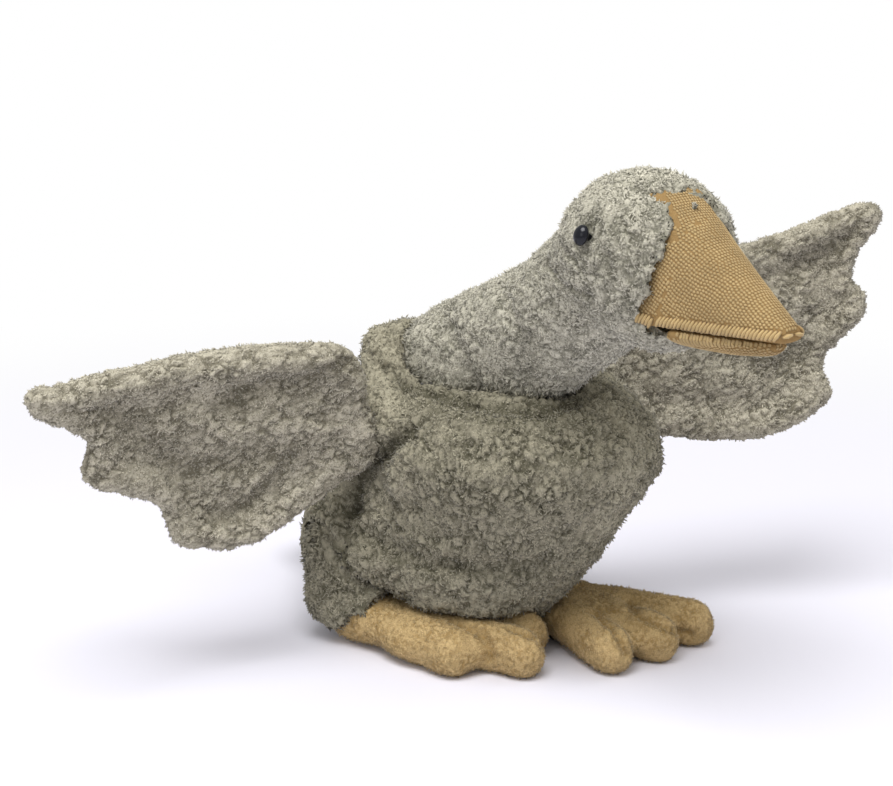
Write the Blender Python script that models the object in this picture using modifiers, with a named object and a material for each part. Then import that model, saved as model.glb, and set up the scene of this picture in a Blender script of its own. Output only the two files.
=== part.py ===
"""Plush goose standing with its wings spread, in metres.

The goose faces -Y and its left side is +X. The origin is on the floor, under the middle of the whole toy.
Every soft piece is a stuffed form: plain lumps, tubes or a sewn outline that run into each other.
"""

from math import cos, hypot, pi, radians, sin, sqrt

import bmesh
import bpy
from mathutils import Matrix, Vector

# Driving sizes of the body
TORSO_WIDTH = 0.122
TORSO_HEIGHT = 0.128
TORSO_LENGTH = 0.118
CHEST_FORWARD = 0.020
RUMP_BACK = 0.058
HIP_WIDTH = 0.052
FLOOR_SINK = 0.003

# Driving sizes of the neck and head
NECK_DIAMETER = 0.052
NECK_REACH = 0.102
NECK_RISE = 0.047
NECK_SET_IN = 0.012
THROAT_DROP = 0.016
HEAD_WIDTH = 0.070
HEAD_LENGTH = 0.075
HEAD_HEIGHT = 0.067
HEAD_LEFT = 0.010
CHEEK_FORWARD = 0.007
HEAD_TURN = radians(1)

# Driving sizes of the face
BEAK_LENGTH = 0.041
BEAK_BASE_WIDTH = 0.045
BEAK_TOP_NARROWING = 0.22
BEAK_BASE_HEIGHT = 0.045
BEAK_TIP_WIDTH = 0.012
BEAK_SET_IN = 0.020
LOWER_BEAK_DEPTH = 0.0065
EYE_DIAMETER = 0.0085
EYE_DOME = 0.0030
EYE_STEM_DIAMETER = 0.0030
EYE_STEM_LENGTH = 0.0060

# Driving sizes of the wings and the tail
WING_LENGTH = 0.138
WING_CHORD = 0.087
WING_THICKNESS = 0.017
WING_CUP = 0.016
WING_SET_IN = 0.010
FAR_WING_OUT = 0.007
FAR_WING_DROP = 0.010
FAR_WING_CUP = 0.0096
TAIL_LENGTH = 0.050
TAIL_WIDTH = 0.066
TAIL_THICKNESS = 0.028

# Driving sizes of the legs and feet
LEG_DIAMETER = 0.036
LEG_LENGTH = 0.031
FOOT_HEIGHT = 0.021
HEEL_HEIGHT = 0.024
TOE_WIDTH = 0.021
FOOT_SET_IN = 0.004

# The gap kept between two sewn pieces, and how finely soft forms are meshed
SEAM_GAP = 0.0007
SOFT_MESH = 0.005
FINE_MESH = 0.0032

GREY_PLUSH = (0.42, 0.41, 0.36, 1.0)
OCHRE_PLUSH = (0.55, 0.40, 0.19, 1.0)
BLACK_BEAD = (0.012, 0.012, 0.016, 1.0)


def clear_scene():
    """Empties the scene."""
    for item in list(bpy.data.objects):
        bpy.data.objects.remove(item, do_unlink=True)


def new_collection(name):
    """A collection of that name in the scene."""
    found = bpy.data.collections.new(name)
    bpy.context.scene.collection.children.link(found)
    return found


def new_material(name, colour, roughness):
    """A plain Principled material."""
    made = bpy.data.materials.new(name)
    made.use_nodes = True
    shader = made.node_tree.nodes["Principled BSDF"]
    shader.inputs["Base Color"].default_value = colour
    shader.inputs["Roughness"].default_value = roughness
    return made


def settle(item):
    """Turns an object's modifiers or curve into a plain mesh, in place."""
    graph = bpy.context.evaluated_depsgraph_get()
    mesh = bpy.data.meshes.new_from_object(item.evaluated_get(graph))
    item.modifiers.clear()
    item.data = mesh
    return item


def mesh_object(name, shape, group):
    """An object made of a bmesh."""
    mesh = bpy.data.meshes.new(name)
    shape.to_mesh(mesh)
    shape.free()
    made = bpy.data.objects.new(name, mesh)
    group.objects.link(made)
    return made


def add_ball(shape, centre, radii, turn=None):
    """Adds an ellipsoid to a bmesh, turned about its own centre."""
    turn = turn or Matrix.Identity(4)
    place = Matrix.Translation(Vector(centre)) @ turn @ Matrix.Diagonal((*radii, 1.0))
    bmesh.ops.create_uvsphere(shape, u_segments=24, v_segments=14, radius=1.0, matrix=place)


def add_taper(shape, start, end, start_radius, end_radius, flat=1.0):
    """Adds a round tapering limb as a run of overlapping balls from start to end."""
    start, end = Vector(start), Vector(end)
    steps = max(2, int((end - start).length / min(start_radius, end_radius) * 2.5))
    for step in range(steps + 1):
        share = step / steps
        radius = start_radius + (end_radius - start_radius) * share
        add_ball(shape, start.lerp(end, share), (radius, radius, radius * flat))


def stuffed(name, shape, group, mesh_size, smoothing, keep=1.0):
    """Runs overlapping lumps together into one soft closed form."""
    made = mesh_object(name, shape, group)
    remesh = made.modifiers.new("Run together", "REMESH")
    remesh.mode = "VOXEL"
    remesh.voxel_size = mesh_size
    relax = made.modifiers.new("Relax", "SMOOTH")
    relax.factor = 0.5
    relax.iterations = smoothing
    if keep < 1.0:
        thin = made.modifiers.new("Fewer faces", "DECIMATE")
        thin.ratio = keep
    return settle(made)


def edge_distance(x, y, line):
    """How far a point of the plane is from an outline."""
    nearest = 1.0
    for (ax, ay), (bx, by) in line:
        dx, dy = bx - ax, by - ay
        along = ((x - ax) * dx + (y - ay) * dy) / max(dx * dx + dy * dy, 1e-12)
        along = min(1.0, max(0.0, along))
        nearest = min(nearest, hypot(x - ax - dx * along, y - ay - dy * along))
    return nearest


def puffed(depth, reach):
    """How full a stuffed panel is at that depth inside its seam, from 0 to 1."""
    inside = min(1.0, depth / reach)
    return sqrt(1.0 - (1.0 - inside) ** 2)


def smooth_outline(points, steps=4):
    """A closed outline with a smooth curve through its points."""
    count = len(points)
    line = []
    for i in range(count):
        a, b, c, d = (Vector(points[(i + k) % count]) for k in (-1, 0, 1, 2))
        for step in range(steps):
            t = step / steps
            square, cube = 2 * a - 5 * b + 4 * c - d, 3 * b - a - 3 * c + d
            line.append(0.5 * (2 * b + (c - a) * t + square * t * t + cube * t**3))
    return [tuple(p) for p in line]


def segments(points):
    """The straight runs between a closed outline's points."""
    return list(zip(points, points[1:] + points[:1]))


def sewn_panel(name, outline, group, mesh_size, height_at, place, keep=1.0):
    """A stuffed form from a flat outline.

    height_at gives the form's lower and upper height at a point from its distance to the seam. place puts a
    point of the flat pattern into the room.
    """
    edge = smooth_outline(outline)
    curve = bpy.data.curves.new(name, "CURVE")
    curve.dimensions = "2D"
    curve.fill_mode = "BOTH"
    half = mesh_size * 1.2
    curve.extrude = half
    line = curve.splines.new("POLY")
    line.points.add(len(edge) - 1)
    for point, (x, y) in zip(line.points, edge):
        point.co = (x, y, 0.0, 1.0)
    line.use_cyclic_u = True
    flat = bpy.data.objects.new(name + "_pattern", curve)
    group.objects.link(flat)
    graph = bpy.context.evaluated_depsgraph_get()
    plate = bmesh.new()
    plate.from_mesh(bpy.data.meshes.new_from_object(flat.evaluated_get(graph)))
    bpy.data.objects.remove(flat)
    bmesh.ops.remove_doubles(plate, verts=plate.verts, dist=1e-5)
    made = stuffed(name, plate, group, mesh_size, 2)
    seam = segments(edge)
    for vertex in made.data.vertices:
        x, y, z = vertex.co
        low, high = height_at(x, y, edge_distance(x, y, seam))
        share = min(1.0, max(0.0, 0.5 + 0.5 * z / half))
        vertex.co = place(x, y, low + (high - low) * share)
    thin = made.modifiers.new("Fewer faces", "DECIMATE")
    thin.ratio = keep
    return settle(made)


def centre_on_floor(pieces):
    """Moves the whole toy so that its bounding box is centred over the origin."""
    corners = [v.co for piece in pieces for v in piece.data.vertices]
    shift = Vector()
    for axis in (0, 1):
        shift[axis] = -(min(c[axis] for c in corners) + max(c[axis] for c in corners)) / 2
    for piece in pieces:
        piece.data.transform(Matrix.Translation(shift))
    return shift


def outward(item):
    """Makes an object's faces point out."""
    shape = bmesh.new()
    shape.from_mesh(item.data)
    bmesh.ops.recalc_face_normals(shape, faces=shape.faces)
    shape.to_mesh(item.data)
    shape.free()
    return item


def cut_by(item, neighbours, gap, cutters, on_floor=False):
    """Cuts seats into an object for its neighbours, a gap wider than they are, and a flat where it rests."""
    group = bpy.data.collections.new(item.name + "_seats")
    cutters.children.link(group)
    for neighbour in neighbours:
        wide = bpy.data.objects.new(f"{item.name}_seat_for_{neighbour.name}", neighbour.data.copy())
        group.objects.link(wide)
        grow = wide.modifiers.new("Seam gap", "DISPLACE")
        grow.strength = gap
        grow.mid_level = 0.0
    if on_floor:
        slab = bmesh.new()
        bmesh.ops.create_cube(slab, size=1.0, matrix=Matrix.Translation((0, 0, -0.5)))
        mesh_object(item.name + "_floor", slab, group)
    for cutter in group.objects:
        cutter.hide_render = True
        cutter.display_type = "WIRE"
    cut = item.modifiers.new("Seats", "BOOLEAN")
    cut.operation = "DIFFERENCE"
    cut.operand_type = "COLLECTION"
    cut.collection = group


# Places that several pieces share, worked out from the driving sizes
BELLY = Vector((0.0, -0.004, TORSO_HEIGHT * 0.36 - FLOOR_SINK))
CHEST = BELLY + Vector((0.006, -CHEST_FORWARD, TORSO_HEIGHT * 0.29))
SHOULDERS = Vector((BELLY.x, BELLY.y + 0.010, TORSO_HEIGHT * 0.76))
RUMP = BELLY + Vector((-0.004, RUMP_BACK, 0.004))
NECK_FOOT = SHOULDERS + Vector((-0.003, 0.004, 0.032 - NECK_SET_IN))
HEAD = Vector((HEAD_LEFT, NECK_FOOT.y - NECK_REACH, NECK_FOOT.z + NECK_SET_IN + NECK_RISE))
HEAD_FRAME = Matrix.Translation(HEAD) @ Matrix.Rotation(HEAD_TURN, 4, "Z")


def build_torso(group):
    """Body: belly, chest, shoulders, rump, two hips and the roll of plush at the nape."""
    shape = bmesh.new()
    half_width, half_length = TORSO_WIDTH / 2, TORSO_LENGTH / 2
    seat = BELLY + Vector((-0.006, 0.0, 0.0))
    add_ball(shape, seat, (half_width * 0.76, half_length * 0.80, TORSO_HEIGHT * 0.37))
    add_ball(shape, BELLY.lerp(CHEST, 0.5), (half_width * 0.81, half_length * 0.86, TORSO_HEIGHT * 0.34))
    breast = CHEST + Vector((0, 0, 0.004))
    add_ball(shape, breast, (half_width * 0.98, half_length * 0.98, TORSO_HEIGHT * 0.28))
    far_shoulder = SHOULDERS + Vector((0.015, -0.015, 0.001))
    add_ball(shape, far_shoulder, (half_width * 0.84, half_length * 0.70, TORSO_HEIGHT * 0.17))
    near_shoulder = SHOULDERS + Vector((-0.012, 0.008, -0.006))
    add_ball(shape, near_shoulder, (half_width * 0.78, half_length * 0.70, TORSO_HEIGHT * 0.20))
    add_ball(shape, RUMP, (half_width * 0.74, half_length * 0.78, TORSO_HEIGHT * 0.29))
    back = SHOULDERS.lerp(RUMP, 0.48)
    add_ball(shape, back, (half_width * 0.82, half_length * 0.80, TORSO_HEIGHT * 0.33))
    for side in (-1, 1):
        hip = (BELLY.x + side * HIP_WIDTH * 0.80, BELLY.y + 0.034, BELLY.z - 0.004)
        add_ball(shape, hip, (HIP_WIDTH / 2, HIP_WIDTH * 0.62, TORSO_HEIGHT * 0.27))
    nape = SHOULDERS + Vector((-0.016, 0.026, TORSO_HEIGHT * 0.21))
    add_ball(shape, nape, (TORSO_WIDTH * 0.22, TORSO_LENGTH * 0.15, TORSO_HEIGHT * 0.09))
    return stuffed("torso", shape, group, SOFT_MESH * 1.3, 12, 0.26)


def build_neck_and_head(group):
    """Neck that leans forward out of the body and swells into the head."""
    shape = bmesh.new()
    thick = NECK_DIAMETER / 2
    middle = NECK_FOOT.lerp(HEAD, 0.55) + Vector((0, 0, -0.006))
    nape = HEAD_FRAME @ Vector((0, HEAD_LENGTH * 0.20, -HEAD_HEIGHT * 0.14))
    add_taper(shape, NECK_FOOT, middle, thick, thick * 1.02)
    add_taper(shape, middle, nape, thick * 1.02, thick * 1.10)
    throat = HEAD_FRAME @ Vector((0, HEAD_LENGTH * 0.22, -HEAD_HEIGHT * 0.30))
    crop = NECK_FOOT.lerp(middle, 0.3) - Vector((0, 0, THROAT_DROP))
    add_taper(shape, crop, throat, thick * 0.84, thick * 0.84)
    add_ball(shape, HEAD, (HEAD_WIDTH / 2, HEAD_LENGTH / 2, HEAD_HEIGHT / 2), HEAD_FRAME.to_3x3().to_4x4())
    chin = HEAD_FRAME @ Vector((0, -HEAD_LENGTH * 0.16, -HEAD_HEIGHT * 0.28))
    add_ball(shape, chin, (HEAD_WIDTH * 0.36, HEAD_LENGTH * 0.34, HEAD_HEIGHT * 0.28))
    cheeks = HEAD_FRAME @ Vector((0, -CHEEK_FORWARD, -HEAD_HEIGHT * 0.18))
    add_ball(shape, cheeks, (HEAD_WIDTH * 0.46, HEAD_LENGTH * 0.38, HEAD_HEIGHT * 0.32))
    return stuffed("neck_and_head", shape, group, SOFT_MESH, 4, 0.29)


def beak_section(share):
    """Half width, top and bottom height of the beak at that share of its length from the base."""
    width = BEAK_BASE_WIDTH / 2 * (1 - share) ** 0.95 + BEAK_TIP_WIDTH / 2 * share
    top = BEAK_BASE_HEIGHT * (0.58 * (1 - share)) - BEAK_BASE_HEIGHT * 0.34 * share
    bottom = -BEAK_BASE_HEIGHT * (0.48 - 0.03 * share)
    return width, top, bottom


def build_upper_beak(group):
    """Upper beak: an arched cone with a flat underside, from rings along its length."""
    rings, around = 9, 20
    start = -HEAD_LENGTH / 2 + BEAK_SET_IN
    shape = bmesh.new()
    loops = []
    for ring in range(rings + 1):
        share = ring / rings
        width, top, bottom = beak_section(share)
        loop = []
        for k in range(around):
            angle = 2 * pi * k / around
            square = 0.66 + 0.24 * share
            x = width * abs(cos(angle)) ** square * (1 if cos(angle) > 0 else -1)
            lift = abs(sin(angle)) ** square * (1 if sin(angle) > 0 else -1)
            z = bottom + (top - bottom) * lift if lift > 0 else bottom + 0.0015 * lift
            x *= 1.0 - BEAK_TOP_NARROWING * max(0.0, lift) * (1.0 - 0.5 * share)
            y = start - (BEAK_LENGTH + BEAK_SET_IN) * share
            loop.append(shape.verts.new(HEAD_FRAME @ Vector((x, y, z))))
        loops.append(loop)
    for first, second in zip(loops, loops[1:]):
        for k in range(around):
            after = (k + 1) % around
            shape.faces.new((first[k], first[after], second[after], second[k]))
    shape.faces.new(loops[0])
    shape.faces.new(loops[-1])
    return outward(mesh_object("upper_beak", shape, group))


def build_lower_beak(group):
    """Lower beak: a shallow stuffed panel under the upper one."""
    length = BEAK_LENGTH
    start = -HEAD_LENGTH / 2 + BEAK_SET_IN * 0.4
    shape = bmesh.new()
    steps = 9
    for step in range(steps + 1):
        share = 0.10 + 0.86 * step / steps
        width, _, bottom = beak_section(share)
        place = HEAD_FRAME @ Vector((0, start - length * share, bottom - LOWER_BEAK_DEPTH * 0.28))
        fullness = 0.72 + 0.28 * sin(pi * share)
        radii = (width * 0.96, length * 0.10, LOWER_BEAK_DEPTH * fullness)
        add_ball(shape, place, radii, HEAD_FRAME.to_3x3().to_4x4())
    return stuffed("lower_beak", shape, group, FINE_MESH * 0.75, 3, 0.24)


def build_eye(name, side, group):
    """A domed bead on a short stem, set into the side of the head."""
    radius = EYE_DIAMETER / 2
    stem = EYE_STEM_DIAMETER / 2
    profile = [(EYE_DOME * cos(a), radius * sin(a)) for a in (pi / 12 * k for k in range(7))]
    profile += [(-0.0008, radius * 0.8), (-0.0008, stem), (-EYE_STEM_LENGTH, stem), (-EYE_STEM_LENGTH, 0.0)]
    shape = bmesh.new()
    around = 12
    verts = [shape.verts.new((height, out, 0.0)) for height, out in profile]
    edges = [shape.edges.new(pair) for pair in zip(verts, verts[1:])]
    bmesh.ops.spin(
        shape, geom=verts + edges, cent=(0, 0, 0), axis=(1, 0, 0), angle=2 * pi, steps=around, use_merge=True
    )
    bmesh.ops.remove_doubles(shape, verts=shape.verts, dist=1e-5)
    out = Vector((side * cos(radians(2)), -sin(radians(2)), 0.32)).normalized()
    head = Vector((HEAD_WIDTH / 2, HEAD_LENGTH / 2, HEAD_HEIGHT / 2))
    reach = 1.0 / Vector(way / half for way, half in zip(out, head)).length
    turn = out.to_track_quat("X", "Z").to_matrix().to_4x4()
    place = HEAD_FRAME @ Matrix.Translation(out * (reach - 0.0004)) @ turn
    shape.transform(place)
    return outward(mesh_object(name, shape, group))


# The flat pattern of a wing, as shares of its length and chord: from the shoulder along the leading edge to
# the tip, and back over the three scallops of the trailing edge
WING_PATTERN = (
    (0.13, -0.25),
    (0.30, -0.27),
    (0.55, -0.23),
    (0.78, -0.14),
    (0.94, -0.10),
    (1.00, -0.02),
    (0.96, 0.09),
    (0.815, 0.23),
    (0.84, 0.33),
    (0.79, 0.45),
    (0.70, 0.50),
    (0.590, 0.54),
    (0.59, 0.68),
    (0.50, 0.75),
    (0.38, 0.74),
    (0.26, 0.66),
    (0.12, 0.48),
    (0.01, 0.30),
    (0.05, 0.02),
)


# Each wing as it is posed: its side, how far out and down its root is sewn, the ways that its length and its
# chord run, and how deeply it is cupped
RIGHT_WING = (-1, 0.0, 0.0, Vector((-0.975, 0.180, 0.09)), Vector((-0.05, 0.22, -0.97)), WING_CUP)
LEFT_SPAN, LEFT_CHORD = Vector((0.90, -0.40, 0.56)), Vector((0.52, -0.32, -0.85))
LEFT_WING = (1, FAR_WING_OUT, FAR_WING_DROP, LEFT_SPAN, LEFT_CHORD, FAR_WING_CUP)


def build_wing(name, pose, group):
    """A two-layer plush wing, sewn round a scalloped outline and lightly stuffed."""
    side, shift, drop, span, chord, cup = pose
    span, chord = span.normalized(), chord.normalized()
    face = span.cross(chord).normalized() * -side
    root = SHOULDERS + Vector((side * (TORSO_WIDTH * 0.46 - WING_SET_IN + shift), -0.006, 0.012 - drop))
    outline = [(s * (WING_LENGTH + WING_SET_IN), t * WING_CHORD) for s, t in WING_PATTERN]

    def height_at(x, y, seam):
        along = x / WING_LENGTH
        full = WING_THICKNESS * (0.62 + 0.38 * max(0.0, 1 - along))
        half = 0.0012 + full / 2 * puffed(seam, 0.020)
        return -half, half

    def place(x, y, z):
        along, across = x / WING_LENGTH, y / WING_CHORD
        bend = cup * ((across - 0.15) ** 2 * 2.2 - 0.35 * sin(pi * min(1.0, max(0.0, along))))
        return root + span * x + chord * y + face * (z + bend)

    return outward(sewn_panel(name, outline, group, SOFT_MESH * 1.1, height_at, place, 0.62))


def build_tail(group):
    """A short stuffed tail that points back and a little down."""
    shape = bmesh.new()
    start = RUMP + Vector((0, 0.016, -0.004))
    end = start + Vector((-0.004, TAIL_LENGTH, -0.006))
    for step in range(6):
        share = step / 5
        place = start.lerp(end, share)
        half_width = TAIL_WIDTH / 2 * (1 - 0.30 * share)
        half_height = TAIL_THICKNESS / 2 * (1 - 0.45 * share)
        add_ball(shape, place, (half_width, TAIL_LENGTH * 0.24, half_height))
    return stuffed("tail", shape, group, SOFT_MESH, 3, 0.35)


# Each foot as it is posed: its heel on the floor, the way it points, and its toes from the outer one to the
# inner one, as a turn from straight ahead and a reach from the heel
RIGHT_FOOT = (Vector((-0.049, 0.020, 0.0)), radians(21), ((-13, 0.058), (2, 0.081), (18, 0.0735)))
LEFT_FOOT = (Vector((0.023, 0.006, 0.0)), radians(10), ((19, 0.082), (1, 0.080), (-17, 0.078)))


def pointing(turn):
    """The level direction that is turned from straight ahead towards the goose's left."""
    return Vector((sin(turn), -cos(turn), 0.0))


def build_foot(name, pose, group):
    """A flat-soled foot: an instep that spreads into three toes."""
    heel, turn, toes = pose
    shape = bmesh.new()
    back = heel + Vector((0, 0, HEEL_HEIGHT * 0.44))
    for spread, reach in toes:
        ahead = pointing(turn + radians(spread))
        end = heel + ahead * reach + Vector((0, 0, FOOT_HEIGHT * 0.42))
        middle = back.lerp(end, 0.52) + Vector((0, 0, FOOT_HEIGHT * 0.03))
        add_taper(shape, back, middle, HEEL_HEIGHT * 0.50, TOE_WIDTH * 0.44, 1.0)
        add_taper(shape, middle, end, TOE_WIDTH * 0.44, TOE_WIDTH * 0.50, FOOT_HEIGHT / TOE_WIDTH * 1.12)
    mean = sum(reach for _, reach in toes) / len(toes)
    pad = heel + pointing(turn) * mean * 0.50 + Vector((0, 0, FOOT_HEIGHT * 0.42))
    spread_pad = Matrix.Rotation(turn, 4, "Z")
    add_ball(shape, pad, (TOE_WIDTH * 1.02, mean * 0.30, FOOT_HEIGHT * 0.54), spread_pad)
    return stuffed(name, shape, group, FINE_MESH, 4, 0.21)


def build_leg(name, side, pose, group):
    """A grey plush leg that comes out of the hip and lies forward to the foot."""
    heel, turn, _ = pose
    ahead = pointing(turn)
    radius = LEG_DIAMETER / 2
    front = heel + ahead * FOOT_SET_IN + Vector((0, 0, radius * 0.84))
    back = front - ahead * (LEG_LENGTH - radius) + Vector((0, 0, radius * 0.20))
    hip = back + Vector((-side * 0.006, 0.002, radius * 1.20))
    shape = bmesh.new()
    add_taper(shape, front, back, radius * 0.92, radius)
    add_taper(shape, back, hip, radius, radius * 1.05)
    return stuffed(name, shape, group, SOFT_MESH * 0.8, 3, 0.36)


def main():
    """Builds the goose."""
    clear_scene()
    goose = new_collection("plush_goose")
    cutters = new_collection("cutters")
    grey = new_material("grey_plush", GREY_PLUSH, 0.95)
    ochre = new_material("ochre_plush", OCHRE_PLUSH, 0.9)
    black = new_material("black_bead", BLACK_BEAD, 0.15)

    torso = build_torso(goose)
    neck = build_neck_and_head(goose)
    upper = build_upper_beak(goose)
    lower = build_lower_beak(goose)
    eyes = [build_eye("right_eye", -1, goose), build_eye("left_eye", 1, goose)]
    wings = [build_wing("right_wing", RIGHT_WING, goose), build_wing("left_wing", LEFT_WING, goose)]
    tail = build_tail(goose)
    feet = [build_foot("right_foot", RIGHT_FOOT, goose), build_foot("left_foot", LEFT_FOOT, goose)]
    legs = [build_leg("right_leg", -1, RIGHT_FOOT, goose), build_leg("left_leg", 1, LEFT_FOOT, goose)]

    centre_on_floor([torso, neck, upper, lower, *eyes, *wings, tail, *feet, *legs])
    cut_by(torso, [neck, *wings, tail, *legs, *feet], SEAM_GAP, cutters, on_floor=True)
    cut_by(neck, [upper, *eyes], SEAM_GAP, cutters)
    cut_by(lower, [upper, neck], SEAM_GAP, cutters)
    for leg, foot in zip(legs, feet):
        cut_by(leg, [foot], SEAM_GAP, cutters, on_floor=True)
        cut_by(foot, [], SEAM_GAP, cutters, on_floor=True)

    for item in (torso, neck, tail, *wings, *legs):
        item.data.materials.append(grey)
    for item in (upper, lower, *feet):
        item.data.materials.append(ochre)
    for item in eyes:
        item.data.materials.append(black)


main()
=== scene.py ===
"""Looks for the stuffed goose: combed plush skins, a knitted beak, bead eyes and a plain pale room."""

import functools
import logging
import math
from dataclasses import dataclass, field
from enum import Enum

import bmesh
import bpy
import numpy as np
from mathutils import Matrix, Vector, noise
from mathutils.bvhtree import BVHTree
from mathutils.kdtree import KDTree


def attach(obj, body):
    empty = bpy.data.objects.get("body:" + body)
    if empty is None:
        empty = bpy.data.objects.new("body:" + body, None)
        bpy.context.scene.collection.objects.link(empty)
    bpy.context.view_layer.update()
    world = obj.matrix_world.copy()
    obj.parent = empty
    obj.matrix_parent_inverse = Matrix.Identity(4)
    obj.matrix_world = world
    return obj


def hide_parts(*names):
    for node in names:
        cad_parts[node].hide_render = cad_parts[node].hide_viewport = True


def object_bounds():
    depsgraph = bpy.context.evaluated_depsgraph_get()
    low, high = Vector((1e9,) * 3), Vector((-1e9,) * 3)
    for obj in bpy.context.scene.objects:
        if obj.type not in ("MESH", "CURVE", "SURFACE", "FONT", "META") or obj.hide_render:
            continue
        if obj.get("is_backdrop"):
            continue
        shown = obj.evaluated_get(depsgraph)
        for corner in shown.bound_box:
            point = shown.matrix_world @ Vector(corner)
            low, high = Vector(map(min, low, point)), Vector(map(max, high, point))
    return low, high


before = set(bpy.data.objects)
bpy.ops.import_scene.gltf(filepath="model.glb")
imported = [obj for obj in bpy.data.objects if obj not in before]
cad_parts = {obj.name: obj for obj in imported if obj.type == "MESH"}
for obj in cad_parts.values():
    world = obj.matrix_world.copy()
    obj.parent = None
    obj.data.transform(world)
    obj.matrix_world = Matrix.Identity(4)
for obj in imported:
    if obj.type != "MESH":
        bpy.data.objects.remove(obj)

log = logging.getLogger("goose")

MM = 0.001
PHOTO_WIDTH, PHOTO_HEIGHT = 893, 786
CAMERA_TARGET = Vector((-0.0028, 0.0279, 0.104))
CAMERA_AZIMUTH = math.radians(-35)
CAMERA_HEIGHT = math.radians(14)
CAMERA_DISTANCE = 0.9
CAMERA_LENS = 87.08
SENSOR_WIDTH = 36.0
MERGE_GAP = 0.02 * MM
CONTACT_REACH = 0.9 * MM
BURIED_REACH = 4.0 * MM
INSIDE_REACH = 12 * MM
INSIDE_SLACK = 0.1 * MM
SEAM_REACH = 6.0 * MM
TUCK_REACH = 1.8 * MM
TUCK_DEPTH = 1.4 * MM
FILLING_FRAMES = 20
ROUTE_STEPS = 12
UV_NAME = "OFBake"
GROWTH_NOTES = ("cover", "reach", "light", "inward", "clump", "crease_light")
WHITE = (1.0, 1.0, 1.0, 1.0)
# The noise's vectors follow the clock unless a seed is set.
NOISE_SEED = 7
# Waves of noise in a metre: lumps of the filling, patches that part, bends and frays of a clump, and grain.
LUMP_WAVES, SMALL_LUMP_WAVES, PATCH_WAVES = 115, 260, 130
BEND_WAVES, FRAY_WAVES, GRAIN_WAVES = 230, 700, 1100
# Shares of a clump: its bends and frays, the width of a parting, how far it opens, its grain and its middle.
BEND, FRAY, PARTING, GRAIN, CLUMP_MIDDLE = 0.55, 0.22, 0.3, 0.18, 0.8
OPEN_MIDDLE, OPEN_SPREAD, OPEN_LEAST = 0.65, 0.7, 0.15
# Shares of the pile's depth that the filling and the floor may take, and its lean towards a seam.
FILLING_SHARE, SEAM_LEAN = 0.8, 1.6


class Colour(Enum):
    """The goose's colours, as screen values from 0 to 255; each root is darker than its tip, as painted shade
    deep in the pile.
    """

    # The head's pair is the wings' grey a little paler and cooler: painted light on the top-lit head and
    # neck.
    LIT_HEAD_ROOT = (118, 116, 102)
    LIT_HEAD_TIP = (222, 217, 199)
    GREY_ROOT = (116, 111, 95)
    GREY_TIP = (219, 212, 192)
    # The body's pair is the wings' grey much darker: painted shade on the torso, legs and tail.
    SHADED_BODY_ROOT = (89, 86, 71)
    SHADED_BODY_TIP = (178, 172, 151)
    OCHRE_ROOT = (164, 136, 89)
    OCHRE_TIP = (220, 194, 145)
    KNIT = (184, 159, 113)
    # The knit's gap colour, at the foot of each stitch, is darker as painted shade between the stitches.
    SHADED_KNIT_GAP = (150, 122, 80)
    BEAD = (14, 16, 24)
    FLOOR = (233, 232, 242)

    def linear(self) -> tuple[float, float, float, float]:
        """Returns: the colour as linear light, with an alpha of 1."""
        parts = [v / 255 for v in self.value]
        parts = [v / 12.92 if v < 0.04045 else ((v + 0.055) / 1.055) ** 2.4 for v in parts]
        return (*parts, 1.0)


class Wire:
    """An output of a node that can be used in sums, in a material or in a node group."""

    def __init__(self, graph: "Graph", socket: bpy.types.NodeSocket) -> None:
        """Args: graph, where the node is; socket, its output."""
        self.graph, self.socket = graph, socket

    def _sum(self, operation: str, first: object, second: object) -> "Wire":
        """Adds a maths node.

        Args:
            operation: the sum's name.
            first: a wire, number or vector.
            second: a wire, number or vector.

        Returns:
            The result.
        """
        vector = any(
            isinstance(v, (tuple, Vector)) or (isinstance(v, Wire) and v.socket.type == "VECTOR")
            for v in (first, second)
        )
        kind = "ShaderNodeVectorMath" if vector else "ShaderNodeMath"
        return self.graph.add(kind, {0: first, 1: second}, operation=operation)

    def __add__(self, other: object) -> "Wire":
        """Returns: this plus other."""
        return self._sum("ADD", self, other)

    def __sub__(self, other: object) -> "Wire":
        """Returns: this less other."""
        return self._sum("SUBTRACT", self, other)

    def __mul__(self, other: object) -> "Wire":
        """Returns: this times other."""
        return self._sum("MULTIPLY", self, other)

    def __truediv__(self, other: object) -> "Wire":
        """Returns: this over other."""
        return self._sum("DIVIDE", self, other)

    def dot(self, other: object) -> "Wire":
        """Returns: the dot product with other."""
        return self.graph.add("ShaderNodeVectorMath", {0: self, 1: other}, "Value", operation="DOT_PRODUCT")


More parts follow.
